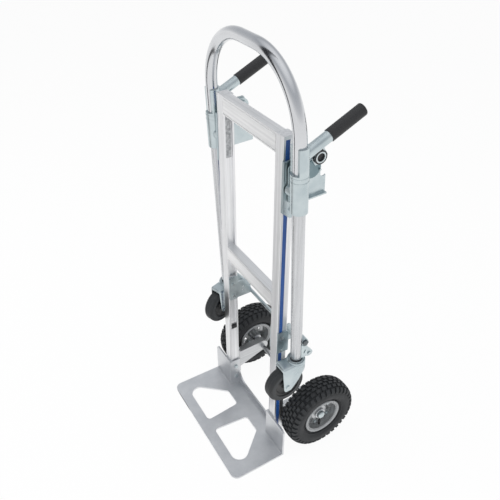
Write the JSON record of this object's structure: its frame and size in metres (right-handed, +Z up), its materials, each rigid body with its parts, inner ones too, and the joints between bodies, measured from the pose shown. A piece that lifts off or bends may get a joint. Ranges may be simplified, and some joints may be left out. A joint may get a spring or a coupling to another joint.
{
  "type": "convertible hand truck",
  "caption": "Aluminium two-wheel hand truck with a nose plate and a loop handle that slides up and folds out on swivel casters to make a platform cart.",
  "frame": {"origin": "on the ground under the heel of the nose plate, midway between the rails, in the plane of the rails' front faces", "axes": "+X across to the right side rail as seen from the nose plate's toe, -Y towards the toe of the nose plate, +Z up along the rails"},
  "size_m": [0.5152, 0.466, 1.3518],
  "materials": {
    "extrusion": "satin extruded",
    "blue_strip": "satin",
    "nose": "satin rolled",
    "casting": "as cast",
    "zinc": "zinc plated",
    "bolt_steel": "zinc plated",
    "chrome_tube": "polished",
    "leg_tube": "satin fluted",
    "grip_rubber": "matte",
    "tyre_rubber": "matte",
    "caster_rubber": "satin",
    "rim_paint": "silver paint",
    "hub_steel": "satin",
    "caster_core": "satin",
    "valve_rubber": "matte"
  },
  "bodies": {
    "frame": {"rail_left": "extrusion", "rail_right": "extrusion", "slot_strip_left": "blue_strip", "slot_strip_right": "blue_strip", "top_crossbar": "extrusion", "mid_crossbar": "extrusion", "channel_inserts": "extrusion", "nose_plate": "nose", "nose_bolts": "bolt_steel", "axle_bracket_left": "casting", "axle_bracket_right": "casting", "strut_bolts": "bolt_steel", "axle": "bolt_steel", "axle_spacers": "zinc", "axle_retainers": "zinc", "pivot_plate_left": "zinc", "pivot_plate_right": "zinc", "pivot_plate_bolts": "bolt_steel", "pivot_bolts": "bolt_steel", "rod_seat_left": "zinc", "rod_seat_right": "zinc", "leg_guide_left": "zinc", "leg_guide_right": "zinc", "lower_bracket_bolts": "bolt_steel"},
    "main_wheel_left": {"main_tyre_left": "tyre_rubber", "main_rim_left": "rim_paint", "main_hub_left": "hub_steel", "valve_stem_left": "valve_rubber"},
    "main_wheel_right": {"main_tyre_right": "tyre_rubber", "main_rim_right": "rim_paint", "main_hub_right": "hub_steel", "valve_stem_right": "valve_rubber"},
    "sleeves": {"pivot_sleeve_left": "zinc", "pivot_sleeve_right": "zinc", "hand_grip_left": "grip_rubber", "hand_grip_right": "grip_rubber", "lever_pin_left": "bolt_steel", "lever_pin_right": "bolt_steel"},
    "lever_left": {"release_lever_left": "zinc"},
    "lever_right": {"release_lever_right": "zinc"},
    "handle": {"handle_loop": "chrome_tube", "handle_leg_left": "leg_tube", "handle_leg_right": "leg_tube", "tube_splices": "bolt_steel", "clamp_block_left": "zinc", "clamp_block_right": "zinc", "clamp_bolts": "bolt_steel", "cross_rod": "zinc", "caster_stem_left": "zinc", "caster_stem_right": "zinc"},
    "caster_swivel_left": {"caster_race_left": "zinc", "caster_fork_left": "zinc", "caster_axle_left": "bolt_steel"},
    "caster_wheel_left": {"caster_hub_left": "caster_core", "caster_tyre_left": "caster_rubber"},
    "caster_swivel_right": {"caster_race_right": "zinc", "caster_fork_right": "zinc", "caster_axle_right": "bolt_steel"},
    "caster_wheel_right": {"caster_hub_right": "caster_core", "caster_tyre_right": "caster_rubber"}
  },
  "joints": [
    {"name": "main_wheel_spin_left", "type": "hinge", "parent": "frame", "child": "main_wheel_left", "pos_m": [-0.215, 0.142, 0.13], "axis": [1, 0, 0], "continuous": true},
    {"name": "main_wheel_spin_right", "type": "hinge", "parent": "frame", "child": "main_wheel_right", "pos_m": [0.215, 0.142, 0.13], "axis": [1, 0, 0], "continuous": true},
    {"name": "handle_fold", "type": "hinge", "parent": "frame", "child": "sleeves", "pos_m": [0, 0.017, 1.016], "axis": [1, 0, 0], "range_deg": [0, 87.8]},
    {"name": "release_lever_left", "type": "hinge", "parent": "sleeves", "child": "lever_left", "pos_m": [-0.178, 0.08707, 1.09375], "axis": [1, 0, 0], "range_deg": [0, 12], "stiffness_Nm_per_rad": 1.5, "springref_deg": -5.73},
    {"name": "release_lever_right", "type": "hinge", "parent": "sleeves", "child": "lever_right", "pos_m": [0.178, 0.08707, 1.09375], "axis": [1, 0, 0], "range_deg": [0, 12], "stiffness_Nm_per_rad": 1.5, "springref_deg": -5.73},
    {"name": "handle_slide", "type": "slide", "parent": "sleeves", "child": "handle", "axis": [0, -0.0384, 0.9993], "range_m": [0, 0.446]},
    {"name": "caster_swivel_left", "type": "hinge", "parent": "handle", "child": "caster_swivel_left", "pos_m": [-0.215, 0.03896, 0.44442], "axis": [0, -0.0384, 0.9993], "range_deg": [-157, 0]},
    {"name": "caster_roll_left", "type": "hinge", "parent": "caster_swivel_left", "child": "caster_wheel_left", "pos_m": [-0.20214, 0.00021, 0.35687], "axis": [0.9563, 0.2922, 0.0112], "continuous": true},
    {"name": "caster_swivel_right", "type": "hinge", "parent": "handle", "child": "caster_swivel_right", "pos_m": [0.215, 0.03896, 0.44442], "axis": [0, -0.0384, 0.9993], "range_deg": [-17, 140]},
    {"name": "caster_roll_right", "type": "hinge", "parent": "caster_swivel_right", "child": "caster_wheel_right", "pos_m": [0.215, -0.00171, 0.3568], "axis": [1, 0, 0], "continuous": true}
  ]
}
